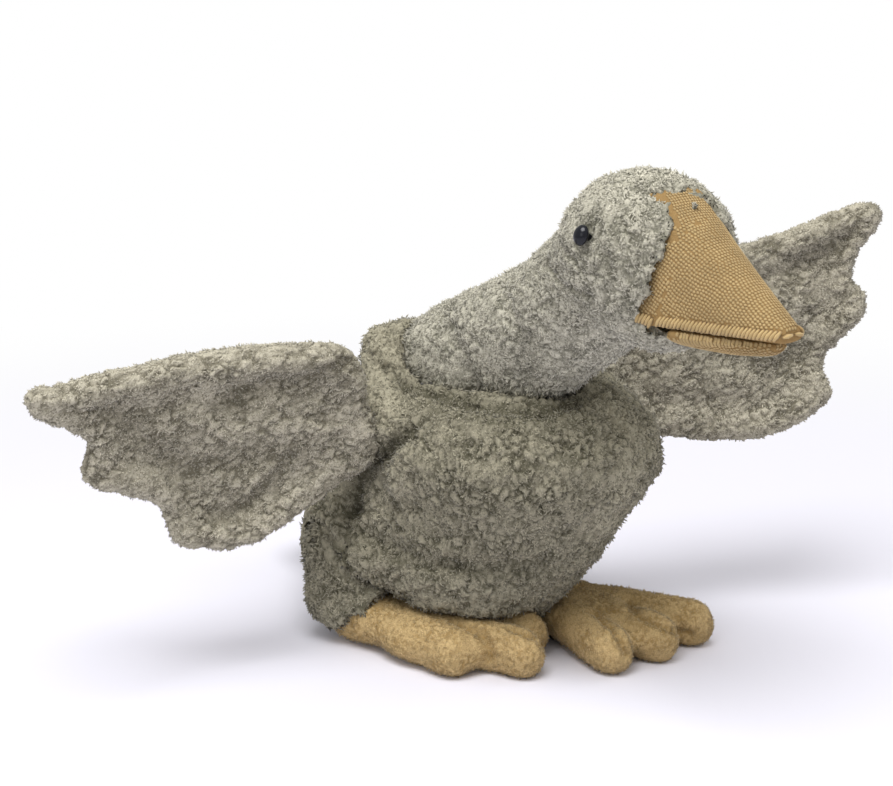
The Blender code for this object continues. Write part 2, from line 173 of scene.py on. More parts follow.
class Graph:
    """A node tree under construction, for a material or for Geometry Nodes."""

    def __init__(self, tree: bpy.types.NodeTree) -> None:
        """Args: tree, the tree that the nodes go into."""
        self.tree = tree

    def add(self, kind: str, feeds: dict | None = None, out: int | str = 0, **settings: object) -> Wire:
        """Adds any node.

        Args:
            kind: the node's type.
            feeds: what goes into its inputs, by number or name; a wire or a plain value.
            out: the output wanted.
            settings: the node's own options.

        Returns:
            The output asked for.
        """
        node = self.tree.nodes.new(kind)
        for name, value in settings.items():
            setattr(node, name, value)
        for key, value in (feeds or {}).items():
            self.feed(node.inputs[key], value)
        return Wire(self, node.outputs[out])

    def feed(self, socket: bpy.types.NodeSocket, value: object) -> None:
        """Links a wire or sets a value. Args: socket, the input; value, what goes in."""
        if isinstance(value, Wire):
            self.tree.links.new(value.socket, socket)
        elif socket.type == "VECTOR" and isinstance(value, (int, float)):
            socket.default_value = (value, value, value)
        else:
            socket.default_value = value

    def other(self, wire: Wire, out: int | str) -> Wire:
        """Returns: another output of the wire's node. Args: wire, any output; out, the one wanted."""
        return Wire(self, wire.socket.node.outputs[out])

    def blend(self, share: object, first: object, second: object) -> Wire:
        """Returns: two colours mixed. Args: share, that of the second; first and second, the colours."""
        return self.add("ShaderNodeMix", {0: share, 6: first, 7: second}, 2, data_type="RGBA")

    def ease(self, value: Wire, low: float, high: float) -> Wire:
        """Returns: a smooth rise from 0 to 1. Args: value, what it follows; low and high, where it runs."""
        return self.add("ShaderNodeMapRange", {0: value, 1: low, 2: high}, interpolation_type="SMOOTHSTEP")

    def read(self, name: str, kind: str = "FLOAT") -> Wire:
        """Returns: a named attribute. Args: name, its name; kind, its data type."""
        return self.add("GeometryNodeInputNamedAttribute", {"Name": name}, data_type=kind)

    def store(self, geometry: Wire, name: str, value: Wire, kind: str, domain: str) -> Wire:
        """Writes a named attribute.

        Args:
            geometry: what it is written on.
            name: its name.
            value: what is written.
            kind: its data type.
            domain: what holds it: points, corners or instances.

        Returns:
            The geometry with the attribute on it.
        """
        feeds = {"Geometry": geometry, "Name": name, "Value": value}
        return self.add("GeometryNodeStoreNamedAttribute", feeds, data_type=kind, domain=domain)

    def random(self, low: object, high: object, seed: Wire) -> Wire:
        """Draws a random value for each point.

        Args:
            low: its lowest value, a number or a vector.
            high: its highest value.
            seed: its seed.

        Returns:
            The value.
        """
        first, out, kind = (0, 0, "FLOAT_VECTOR") if isinstance(low, tuple) else (2, 1, "FLOAT")
        feeds = {first: low, first + 1: high, "Seed": seed}
        return self.add("FunctionNodeRandomValue", feeds, out, data_type=kind)


def new_material(name: str, constants: dict[str, float]) -> tuple[bpy.types.Material, Graph, object]:
    """Makes a material.

    Args:
        name: its name.
        constants: plain values of its shader, by name.

    Returns:
        The material, its graph and its shader's inputs.
    """
    material = bpy.data.materials.new(name)
    material.use_nodes = True
    inputs = material.node_tree.nodes["Principled BSDF"].inputs
    for key, value in constants.items():
        inputs[key].default_value = value
    return material, Graph(material.node_tree), inputs


@dataclass(frozen=True)
class Finish:
    """A surface's colours from the pile's roots to its tips; the roots are darker, as painted shade deep in
    the pile.
    """

    name: str
    root: Colour
    tip: Colour
    roughness: float = 0.95
    sheen: float = 0.12
    gloss: float = 0.15
    backing_gloss: float = 0.1
    # How far each tuft's random tone and painted light scale its colour, darkest to lightest.
    shades: tuple[float, float] = (0.62, 1.25)

    def plush(self) -> bpy.types.Material:
        """Makes the pile's material, which reads only the tufts' own map: random tone and painted light
        across, root to tip up, the roots darker as painted shade.

        Returns:
            The material.
        """
        constants = {"Roughness": self.roughness, "Specular IOR Level": self.gloss}
        material, graph, inputs = new_material(self.name, {**constants, "Sheen Weight": self.sheen})
        tint = graph.add("ShaderNodeSeparateXYZ", {0: graph.add("ShaderNodeUVMap", uv_map=UV_NAME)})
        depth = graph.ease(graph.other(tint, 1), 0.05, 0.85)
        # Darker towards the roots: painted shade deep in the pile.
        colour = graph.blend(depth, self.root.linear(), self.tip.linear())
        shade = graph.add("ShaderNodeMapRange", {0: tint, 3: self.shades[0], 4: self.shades[1]})
        scaled = graph.add("ShaderNodeVectorMath", {0: colour, 3: shade}, operation="SCALE")
        graph.feed(inputs["Base Color"], scaled)
        return material

    def backing(self) -> bpy.types.Material:
        """Makes the matted underfur seen between the tufts, dark as painted shade between them.

        Returns:
            The material.
        """
        constants = {"Roughness": self.roughness, "Specular IOR Level": self.backing_gloss}
        material, graph, inputs = new_material(f"{self.name} backing", constants)
        place = graph.add("ShaderNodeTexCoord", out="Object")
        mats = {"Vector": place, "Scale": 750.0, "Detail": 2.0, "Distortion": 0.6}
        fibres = {"Vector": place, "Scale": 1900.0, "Detail": 1.0, "Distortion": 1.0}
        grain = graph.add("ShaderNodeTexNoise", mats) * 0.5 + graph.add("ShaderNodeTexNoise", fibres) * 0.5
        # The pile's painted light and shade, from the partings between clumps and from creases, lightens or
        # darkens the underfur.
        clump = graph.add("ShaderNodeAttribute", out="Fac", attribute_name="tone")
        mix = graph.add("ShaderNodeMapRange", {0: grain * 0.55 + clump * 0.5, 1: 0.25, 2: 0.85})
        graph.feed(inputs["Base Color"], graph.blend(mix, self.root.linear(), self.tip.linear()))
        bump = graph.add("ShaderNodeBump", {"Height": grain, "Strength": 0.7, "Distance": 0.8 * MM})
        graph.feed(inputs["Normal"], bump)
        return material


# The head's and the body's plush are lit and shaded copies of the wings' grey plush: painted light and
# painted shade.
LIT_HEAD_PLUSH = Finish("lit grey plush", Colour.LIT_HEAD_ROOT, Colour.LIT_HEAD_TIP)
GREY_PLUSH = Finish("warm grey plush", Colour.GREY_ROOT, Colour.GREY_TIP)
SHADED_BODY_PLUSH = Finish("shaded grey plush", Colour.SHADED_BODY_ROOT, Colour.SHADED_BODY_TIP)
OCHRE_PLUSH = Finish("ochre plush", Colour.OCHRE_ROOT, Colour.OCHRE_TIP)
KNITTED = Finish("ochre knit", Colour.SHADED_KNIT_GAP, Colour.KNIT)


def new_object(name: str, mesh: bpy.types.Mesh) -> bpy.types.Object:
    """Returns: a new object in the scene. Args: name, its name; mesh, its mesh."""
    made = bpy.data.objects.new(name, mesh)
    bpy.context.scene.collection.objects.link(made)
    return made


def evaluated_mesh(item: bpy.types.Object) -> bpy.types.Mesh:
    """Returns: a plain copy of the mesh with its modifiers applied. Args: item, the object."""
    graph = bpy.context.evaluated_depsgraph_get()
    graph.update()
    return bpy.data.meshes.new_from_object(item.evaluated_get(graph), depsgraph=graph)


def settle(item: bpy.types.Object) -> None:
    """Puts what the modifiers make into the object's own mesh. Args: item, the object."""
    made = evaluated_mesh(item)
    old = item.data
    item.modifiers.clear()
    item.data = made
    bpy.data.meshes.remove(old)


def points_of(mesh: bpy.types.Mesh) -> np.ndarray:
    """Returns: the mesh's points, one a row. Args: mesh, the mesh."""
    flat = np.empty(len(mesh.vertices) * 3)
    mesh.vertices.foreach_get("co", flat)
    return flat.reshape(-1, 3)


def normals_of(mesh: bpy.types.Mesh) -> np.ndarray:
    """Returns: the mesh's point normals, one a row. Args: mesh, the mesh."""
    flat = np.empty(len(mesh.vertices) * 3)
    mesh.vertices.foreach_get("normal", flat)
    return flat.reshape(-1, 3)


def place_points(mesh: bpy.types.Mesh, points: np.ndarray) -> None:
    """Moves the mesh's points. Args: mesh, the mesh; points, the new places."""
    mesh.vertices.foreach_set("co", points.reshape(-1))
    mesh.update()


def sealed_copy(node: str) -> bpy.types.Mesh:
    """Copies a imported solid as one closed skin.

    Args:
        node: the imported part's name.

    Returns:
        A mesh with its doubled points merged.
    """
    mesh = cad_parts[node].data.copy()
    work = bmesh.new()
    work.from_mesh(mesh)
    work.transform(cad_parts[node].matrix_world)
    bmesh.ops.remove_doubles(work, verts=work.verts, dist=MERGE_GAP)
    bmesh.ops.recalc_face_normals(work, faces=work.faces)
    work.to_mesh(mesh)
    work.free()
    mesh.materials.clear()
    return mesh


def tree_of(mesh: bpy.types.Mesh) -> BVHTree:
    """Returns: a search tree of a mesh. Args: mesh, the mesh."""
    work = bmesh.new()
    work.from_mesh(mesh)
    tree = BVHTree.FromBMesh(work)
    work.free()
    return tree


@functools.cache
def solid_tree(node: str) -> BVHTree:
    """Returns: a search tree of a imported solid. Args: node, its name."""
    mesh = sealed_copy(node)
    tree = tree_of(mesh)
    bpy.data.meshes.remove(mesh)
    return tree


def buried(tree: BVHTree, spot: Vector) -> bool:
    """Returns: whether a spot is inside a solid. Args: tree, the solid; spot, the place."""
    place, normal, _, _ = tree.find_nearest(spot, INSIDE_REACH)
    return place is not None and (spot - place).dot(normal) < INSIDE_SLACK


def woven(node: str, finish: Finish, thread: float, rounds: int) -> bpy.types.Object:
    """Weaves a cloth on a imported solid.

    Args:
        node: the solid's name.
        finish: the cloth's colours.
        thread: how fine the weave is.
        rounds: how often it is smoothed.

    Returns:
        The cloth.
    """
    cloth = new_object(f"{node}_cloth", sealed_copy(node))
    cloth.data.materials.append(finish.backing())
    remesh = cloth.modifiers.new("weave", "REMESH")
    remesh.mode, remesh.voxel_size, remesh.use_smooth_shade = "VOXEL", thread, True
    smooth = cloth.modifiers.new("ease", "SMOOTH")
    smooth.factor, smooth.iterations = 0.5, rounds
    settle(cloth)
    return cloth


class Camera:
    """The photograph's viewpoint."""

    def __init__(self) -> None:
        """Works out where the camera stands."""
        flat = math.cos(CAMERA_HEIGHT)
        self.back = Vector(
            (math.sin(CAMERA_AZIMUTH) * flat, -math.cos(CAMERA_AZIMUTH) * flat, math.sin(CAMERA_HEIGHT))
        )
        self.place = CAMERA_TARGET + self.back * CAMERA_DISTANCE
        self.turn = (-self.back).to_track_quat("-Z", "Y")

    def build(self) -> None:
        """Adds the camera to the scene."""
        data = bpy.data.cameras.new("photo camera")
        data.lens, data.sensor_width, data.clip_start = CAMERA_LENS, SENSOR_WIDTH, 0.01
        item = bpy.data.objects.new("photo camera", data)
        item.location, item.rotation_mode = self.place, "QUATERNION"
        item.rotation_quaternion = self.turn
        bpy.context.scene.collection.objects.link(item)
        bpy.context.scene.camera = item
        log.info("camera at %s", tuple(round(v, 3) for v in self.place))

    def ray(self, across: float, down: float) -> Vector:
        """Returns: the direction through a mark in the photograph. Args: across and down, in its pixels."""
        reach = CAMERA_LENS / SENSOR_WIDTH * PHOTO_WIDTH
        local = Vector(((across - PHOTO_WIDTH / 2) / reach, (PHOTO_HEIGHT / 2 - down) / reach, -1.0))
        return (self.turn @ local).normalized()


CAMERA = Camera()


@dataclass(frozen=True)
class Crease:
    """A fold or tuck in the plush, or a strip of painted shade or light alone, along marks in the photograph.

    Its depth and width are in millimetres. A depth below 0 raises the cloth, painted light below 0 is painted
    shade.
    """

    marks: tuple[tuple[float, float], ...]
    depth: float
    width: float
    tone: float = -0.5

    def route(self, tree: BVHTree) -> list[Vector]:
        """Finds where the fold runs on a skin.

        Args:
            tree: the skin.

        Returns:
            Points along it.
        """
        found = []
        for (ax, ay), (bx, by) in zip(self.marks, self.marks[1:]):
            for step in range(ROUTE_STEPS):
                part = step / (ROUTE_STEPS - 1)
                ray = CAMERA.ray(ax + (bx - ax) * part, ay + (by - ay) * part)
                place = tree.ray_cast(CAMERA.place, ray)[0]
                if place:
                    found.append(place)
        return found


@dataclass
class Pile:
    """The fur on one skin: how thick, how long and which way it lies."""

    finish: Finish
    length: float
    width: float
    spacing: float
    clump: float
    seed: int
    disorder: float = 0.7
    flow: tuple[float, float, float] = (0.0, 0.0, -1.0)
    flow_pull: float = 0.3
    clump_pull: float = 0.6
    softness: float = 0.78
    rise: float = 0.26


class GrowthTree:
    """A node group that grows small shapes on a mesh."""

    NAME = ""
    INPUTS: tuple[tuple[str, str], ...] = ()

    def __init__(self) -> None:
        """Builds the group once for every mesh."""
        self.group = bpy.data.node_groups.new(self.NAME, "GeometryNodeTree")
        face = self.group.interface
        face.new_socket("Geometry", in_out="INPUT", socket_type="NodeSocketGeometry")
        for name, kind in self.INPUTS:
            face.new_socket(name, in_out="INPUT", socket_type=kind)
        face.new_socket("Geometry", in_out="OUTPUT", socket_type="NodeSocketGeometry")
        graph = Graph(self.group)
        skin = graph.add("NodeGroupInput")
        given = {name: graph.other(skin, name) for name, _ in self.INPUTS}
        grown, across, up = self._wire(graph, skin, given)
        mapped = graph.add("ShaderNodeCombineXYZ", {0: across, 1: up, 2: 0.0})
        stored = graph.store(grown, UV_NAME, mapped, "FLOAT2", "CORNER")
        dressed = graph.add("GeometryNodeSetMaterial", {"Geometry": stored, "Material": given["Material"]})
        end = self.group.nodes.new("NodeGroupOutput")
        self.group.links.new(dressed.socket, end.inputs[0])

    def _wire(self, g: Graph, skin: Wire, given: dict[str, Wire]) -> tuple[Wire, Wire, Wire]:
        """Lays out the nodes that grow the shapes.

        Args:
            g: the group's graph.
            skin: the mesh that they grow on.
            given: the group's inputs, by name.

        Returns:
            What has grown, and its place across and up the material's map.
        """
        raise NotImplementedError

    def run(self, item: bpy.types.Object, values: dict) -> None:
        """Turns a mesh into what grows on it.

        Args:
            item: the object with the mesh.
            values: the group's inputs, by name.
        """
        modifier = item.modifiers.new(self.NAME, "NODES")
        modifier.node_group = self.group
        for socket in self.group.interface.items_tree:
            if socket.in_out == "INPUT" and socket.name in values:
                modifier[socket.identifier] = values[socket.name]
        settle(item)


class PileTree(GrowthTree):
    """The node group that grows tufts on a skin."""

    NAME = "pile"
    INPUTS = (
        *((name, "NodeSocketFloat") for name in ("Spacing", "Length", "Width", "Clump Pull", "Disorder")),
        *((name, "NodeSocketFloat") for name in ("Rise", "Flow Pull")),
        ("Flow", "NodeSocketVector"),
        ("Seed", "NodeSocketInt"),
        ("Tuft", "NodeSocketObject"),
        ("Material", "NodeSocketMaterial"),
    )

    def _wire(self, g: Graph, skin: Wire, given: dict[str, Wire]) -> tuple[Wire, Wire, Wire]:
        """Lays out the nodes that scatter the tufts and lean them.

        Args:
            g: the group's graph.
            skin: the skin.
            given: the group's inputs, by name.

        Returns:
            The pile, with its random tone and painted light across and its height up.
        """
        seed = given["Seed"]
        density = g.read("cover") / (given["Spacing"] * given["Spacing"])
        feeds = {"Mesh": skin, "Density": density, "Seed": seed}
        points = g.add("GeometryNodeDistributePointsOnFaces", feeds, distribute_method="RANDOM")
        normal = g.other(points, "Normal")
        kept = g.store(points, "out", normal, "FLOAT_VECTOR", "POINT")
        place = g.add("GeometryNodeInputPosition")
        pull = g.read("inward", "FLOAT_VECTOR") * given["Clump Pull"]
        swirl = g.add("ShaderNodeTexNoise", {"Vector": place, "Scale": 90.0, "Detail": 1.0}, "Color")
        drift = (swirl - (0.5, 0.5, 0.5)) * given["Clump Pull"]
        flow = (given["Flow"] - normal * given["Flow"].dot(normal)) * given["Flow Pull"]
        stray = g.random((-1.0, -1.0, -1.0), (1.0, 1.0, 1.0), seed)
        side = stray - normal * stray.dot(normal)
        lean = normal * given["Rise"] + flow + pull + drift + side * given["Disorder"]
        spin = g.random((0.0, 0.0, 0.0), (0.0, 0.0, math.tau), seed + 7.0)
        start = g.add("FunctionNodeEulerToRotation", {0: spin})
        turned = g.add("FunctionNodeAlignRotationToVector", {"Rotation": start, "Vector": lean}, axis="Z")
        vary = g.random(0.7, 1.25, seed + 13.0)
        wide = given["Width"] * vary
        size = g.add("ShaderNodeCombineXYZ", {0: wide, 1: wide, 2: given["Length"] * g.read("reach") * vary})
        tuft = g.add("GeometryNodeObjectInfo", {"Object": given["Tuft"]}, "Geometry")
        feeds = {"Points": kept, "Instance": tuft, "Rotation": turned, "Scale": size}
        grown = g.add("GeometryNodeInstanceOnPoints", feeds)
        # Each tuft's tone: random patches and a random share, plus the skin's painted light and shade.
        patch = g.add("ShaderNodeTexNoise", {"Vector": place, "Scale": 60.0, "Detail": 2.0})
        tint = patch + g.random(-0.13, 0.13, seed + 29.0) + g.read("light")
        with_tone_and_light = g.store(grown, "tint", tint, "FLOAT", "INSTANCE")
        faced = g.store(with_tone_and_light, "facing", g.read("out", "FLOAT_VECTOR"), "FLOAT_VECTOR", "INSTANCE")
        real = g.add("GeometryNodeRealizeInstances", {"Geometry": faced})
        across = g.add("ShaderNodeClamp", {0: g.read("tint"), 1: 0.02, 2: 0.98})
        up = g.add("ShaderNodeClamp", {0: g.read("height"), 1: 0.02, 2: 0.98})
        return real, across, up

    def grow(self, name: str, skin: bpy.types.Object, pile: Pile, tuft: bpy.types.Object) -> bpy.types.Object:
        """Grows the pile of one skin as a plain mesh.

        Args:
            name: the new piece's name.
            skin: the skin it grows on.
            pile: how it looks.
            tuft: the tuft to repeat.

        Returns:
            The pile.
        """
        values = {"Tuft": tuft, "Material": pile.finish.plush()}
        for key, _ in self.INPUTS:
            if key not in values:
                values[key] = getattr(pile, key.lower().replace(" ", "_"))
        grower = new_object(name, skin.data.copy())
        self.run(grower, values)
        soften(grower.data, pile.softness)
        log.info("%s: %d faces", name, len(grower.data.polygons))
        return grower


def soften(mesh: bpy.types.Mesh, share: float) -> None:
    """Shades the tufts partly as the skin below them, the way light spreads through a soft pile.

    Args:
        mesh: the pile, with the skin's facing written on its points.
        share: how much of the skin's facing is used.
    """
    own = normals_of(mesh)
    facing = np.empty(len(mesh.vertices) * 3, np.float32)
    mesh.attributes["facing"].data.foreach_get("vector", facing)
    mixed = own * (1 - share) + facing.reshape(-1, 3) * share
    mixed /= np.maximum(np.linalg.norm(mixed, axis=1), 1e-6)[:, None]
    mesh.normals_split_custom_set_from_vertices(mixed.tolist())
    for name in (*GROWTH_NOTES, "facing", "out", "tint", "height", "tone"):
        if name in mesh.attributes:
            mesh.attributes.remove(mesh.attributes[name])


def small_shape(name: str, points: list, faces: list) -> bpy.types.Object:
    """Makes a small shape to repeat, with its height written on its points.

    Args:
        name: its name.
        points: its points, from 0 to 1 in height.
        faces: its faces.

    Returns:
        The shape, not rendered.
    """
    mesh = bpy.data.meshes.new(name)
    mesh.from_pydata(points, [], faces)
    height = mesh.attributes.new("height", "FLOAT", "POINT")
    height.data.foreach_set("value", [point[2] for point in points])
    mesh.shade_smooth()
    made = new_object(name, mesh)
    made.hide_render = True
    return made


def tuft_shape(bend: float) -> bpy.types.Object:
    """Makes one lock of pile, a bent spindle of three sides.

    Args:
        bend: how far its tip leans.

    Returns:
        The lock.
    """
    middle, girth, waist = 0.35 * bend, 0.5, 0.45
    turns = (0.0, math.tau / 3, -math.tau / 3)
    ring = [(middle + girth * math.cos(turn), girth * math.sin(turn), waist) for turn in turns]
    points = [(0.0, 0.0, 0.0), *ring, (bend, 0.0, 1.0)]
    return small_shape("tuft", points, [(0, 2, 1), (0, 3, 2), (0, 1, 3), (1, 2, 4), (2, 3, 4), (3, 1, 4)])


def stitch_shape() -> bpy.types.Object:
    """Makes one knitted stitch, a low rounded bead of six sides.

    Returns:
        The stitch.
    """
    points, faces = [], []
    turns = [math.tau * n / 6 for n in range(6)]
    for height, radius in ((0.0, 0.5), (0.6, 0.46), (1.0, 0.22)):
        points += [(radius * math.cos(turn), radius * math.sin(turn), height) for turn in turns]
    for low in (0, 6):
        faces += [(low + n, low + (n + 1) % 6, low + 6 + (n + 1) % 6, low + 6 + n) for n in range(6)]
    faces += [tuple(range(5, -1, -1)), tuple(range(12, 18))]
    return small_shape("stitch", points, faces)


@dataclass
class Skin:
    """One stuffed piece: its cloth, its folds and its pile."""

    node: str
    pile: Pile
    slot: str
    detail: float = 4.0 * MM
    sink: float = 1.6 * MM
    swell: float = 4.0
    fill: float = 0.7
    creases: tuple[Crease, ...] = ()
    lumps: float = 0.5 * MM
    finer: int = 2
    crinkle: float = 1.1 * MM
    stretch: float = 0.35
    clear_of: tuple[str, ...] = ()
    neighbours: tuple[str, ...] = ()
    cloth: bpy.types.Object = field(default=None, init=False)

    def build(self, grower: PileTree, tuft: bpy.types.Object) -> list[bpy.types.Object]:
        """Makes the cloth and its pile.

        Args:
            grower: the pile's node group.
            tuft: the tuft to repeat.

        Returns:
            Both pieces.
        """
        self.cloth = woven(self.node, self.pile.finish, self.detail, 3)
        self._sink()
        self._stuff()
        finer = self.cloth.modifiers.new("finer", "SUBSURF")
        finer.levels = finer.render_levels = self.finer
        settle(self.cloth)
        self._fold()
        self._crinkle()
        self._mark()
        made = grower.grow(f"{self.node}_pile", self.cloth, self.pile, tuft)
        for name in GROWTH_NOTES:
            self.cloth.data.attributes.remove(self.cloth.data.attributes[name])
        for item in (self.cloth, made):
            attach(item, "root")
        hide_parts(self.node)
        log.info("%s: cloth of %d faces", self.node, len(self.cloth.data.polygons))
        return [self.cloth, made]

    def _sink(self) -> None:
        """Draws the cloth in by the depth of its pile, but keeps it out where it meets a neighbour."""
        mesh = self.cloth.data
        points = points_of(mesh)
        share = self._gap(points, self.neighbours)[0][:, None]
        own = solid_tree(self.node)
        flush = np.array([own.find_nearest(Vector(point))[0] for point in points])
        points = points * share + flush * (1 - share)
        close = 1.0 - self._gap(points, self.clear_of)[0][:, None]
        points -= normals_of(mesh) * self.sink * (share + 0.9 * close)
        for name in self.clear_of:
            tree = solid_tree(name)
            for index, point in enumerate(points):
                place, normal, _, _ = tree.find_nearest(Vector(point), TUCK_REACH)
                if place is not None:
                    points[index] = place - normal * TUCK_DEPTH
        place_points(mesh, points)

    def _gap(self, points: np.ndarray, names: tuple[str, ...]) -> tuple[np.ndarray, np.ndarray]:
        """Finds how near other pieces are.

        Args:
            points: the places.
            names: the other pieces.

        Returns:
            The gap at each place, 1 at the seam's reach or more, and the way to the nearest piece.
        """
        gaps, ways = np.full(len(points), SEAM_REACH), np.zeros((len(points), 3))
        for name in names:
            tree = solid_tree(name)
            for index, point in enumerate(points):
                place, _, _, gap = tree.find_nearest(Vector(point), gaps[index])
                if place is not None:
                    gaps[index] = gap
                    ways[index] = (np.array(place) - point) / max(gap, 1e-6)
        return gaps / SEAM_REACH, ways

    def _stuff(self) -> None:
        """Swells the cloth with its filling, and keeps its moves small."""
        if not self.swell:
            return
        mesh = self.cloth.data
        before = points_of(mesh)
        held = self.cloth.vertex_groups.new(name="held")
        held.add([int(i) for i in np.nonzero(self._pressed())[0]], 1.0, "REPLACE")
        press = self.cloth.modifiers.new("filling", "CLOTH")
        press.settings.use_pressure = True
        press.settings.uniform_pressure_force = self.swell
        press.settings.effector_weights.gravity = 0.0
        press.settings.vertex_group_mass = "held"
        press.point_cache.frame_start, press.point_cache.frame_end = 1, FILLING_FRAMES
        scene = bpy.context.scene
        for number in range(1, FILLING_FRAMES + 1):
            scene.frame_set(number)
        settle(self.cloth)
        scene.frame_set(1)
        moves = points_of(self.cloth.data) - before
        sizes = np.maximum(np.linalg.norm(moves, axis=1), 1e-9)
        moves *= np.minimum(1.0, self.sink * FILLING_SHARE / sizes)[:, None]
        place_points(self.cloth.data, before + moves)

    def _pressed(self) -> np.ndarray:
        """Finds the points that lie against a neighbour or inside it.

        Returns:
            True for each point that is in touch.
        """
        mesh = self.cloth.data
        points = points_of(mesh)
        share = self._gap(points, self.neighbours)[0][:, None]
        outer = points + normals_of(mesh) * self.sink * share
        near = np.zeros(len(outer), bool)
        for name in (*self.neighbours, *self.clear_of):
            tree = solid_tree(name)
            for index in np.nonzero(~near)[0]:
                spot = Vector(outer[index])
                place, normal, _, gap = tree.find_nearest(spot, BURIED_REACH)
                near[index] = place is not None and (gap < CONTACT_REACH or (spot - place).dot(normal) < 0)
        return near

    def _fold(self) -> None:
        """Presses the folds in, writes their painted shade and light, and lays soft lumps over the rest."""
        mesh = self.cloth.data
        points, normals = points_of(mesh), normals_of(mesh)
        tree = tree_of(mesh)
        push, crease_light = np.zeros(len(points)), np.zeros(len(points))
        for crease in self.creases:
            route = crease.route(tree)
            if not route:
                log.info("%s: a fold missed the cloth", self.node)
                continue
            line = KDTree(len(route))
            for index, point in enumerate(route):
                line.insert(point, index)
            line.balance()
            depth, width = crease.depth * MM, crease.width * MM
            for index, point in enumerate(points):
                near = math.exp(-((line.find(Vector(point))[2] / width) ** 2))
                push[index] -= depth * near
                # The crease's painted shade or painted light, fading away from it.
                crease_light[index] += crease.tone * near
        for index, point in enumerate(points):
            spot = Vector(point)
            lump = noise.noise(spot * LUMP_WAVES) + 0.5 * noise.noise(spot * SMALL_LUMP_WAVES)
            push[index] += self.lumps * lump
        place_points(mesh, points + normals * push[:, None])
        self._write("crease_light", crease_light)

    def _crinkle(self) -> None:
        """Raises the clumps of the pile and opens the partings between them."""
        mesh = self.cloth.data
        points, normals = points_of(mesh), normals_of(mesh)
        flow = Vector(self.pile.flow).normalized()
        clump, inward = np.empty(len(points)), np.empty((len(points), 3))
        for index, point in enumerate(points):
            spot = Vector(point)
            open_here = OPEN_MIDDLE + OPEN_SPREAD * noise.noise(spot * PATCH_WAVES)
            spot += noise.noise_vector(spot * BEND_WAVES) * self.pile.clump * BEND
            spot += noise.noise_vector(spot * FRAY_WAVES) * self.pile.clump * FRAY
            spot -= flow * spot.dot(flow) * self.stretch
            gaps, centres = noise.voronoi(spot / self.pile.clump)
            parted = max(0.0, 1.0 - (gaps[1] - gaps[0]) / PARTING)
            grain = GRAIN * noise.noise(spot * GRAIN_WAVES)
            clump[index] = 1.0 - parted * min(1.0, max(OPEN_LEAST, open_here)) + grain
            inward[index] = centres[0] - spot / self.pile.clump
        place_points(mesh, points + normals * ((clump - CLUMP_MIDDLE) * self.crinkle)[:, None])
        self._write("clump", clump)
        self._write("inward", inward)

    def _write(self, name: str, values: np.ndarray) -> None:
        """Writes a value or a vector on each point of the cloth.

        Args:
            name: its name.
            values: one a point.
        """
        vector = values.ndim == 2
        made = self.cloth.data.attributes.new(name, "FLOAT_VECTOR" if vector else "FLOAT", "POINT")
        made.data.foreach_set("vector" if vector else "value", values.astype(np.float32).ravel())

    def _read(self, name: str) -> np.ndarray:
        """Returns: a value written on each point of the cloth. Args: name, its name."""
        values = np.empty(len(self.cloth.data.vertices), np.float32)
        self.cloth.data.attributes[name].data.foreach_get("value", values)
        return values

    def _mark(self) -> None:
        """Writes where the pile grows, how long it is, and its painted light and shade."""
        mesh = self.cloth.data
        points = points_of(mesh)
        cover = np.where(self._pressed() | (points[:, 2] < self.sink * FILLING_SHARE), 0.0, 1.0)
        clump, crease_light = self._read("clump"), self._read("crease_light")
        gap, ways = self._gap(points, self.neighbours)
        seam = 1.0 - gap
        clear = 1.0 - self._gap(points, self.clear_of)[0]
        lean = mesh.attributes["inward"].data
        inward = np.empty(len(points) * 3, np.float32)
        lean.foreach_get("vector", inward)
        lean.foreach_set("vector", (inward.reshape(-1, 3) + ways * (seam * SEAM_LEAN)[:, None]).ravel())
        length = self.reach(points) * (0.7 + 0.4 * clump) * (1.0 + 0.5 * seam) * (1.0 - 0.4 * clear)
        # Painted shade in the partings between clumps, along creases, at seams and round the beak and eyes,
        # with the skin's own painted light.
        light = self.light(points) + (clump - 0.88) + crease_light - 0.1 * seam - 0.15 * clear
        self._write("cover", cover)
        self._write("reach", length)
        self._write("light", light)
        self._write("tone", np.clip(0.6 + light, 0.0, 1.0))

    def reach(self, points: np.ndarray) -> np.ndarray:
        """Returns: the pile's length at each point, as a share. Args: points, the places."""
        return np.ones(len(points))

    def light(self, points: np.ndarray) -> np.ndarray:
        """Returns: the painted light at each point, none on a plain skin. Args: points, the places."""
        return np.zeros(len(points))


def bell(values: np.ndarray, middle: float, width: float) -> np.ndarray:
    """Returns: 1 at the middle, falling to either side. Args: values, the places; middle; width."""
    return np.exp(-(((values - middle) / width) ** 2))


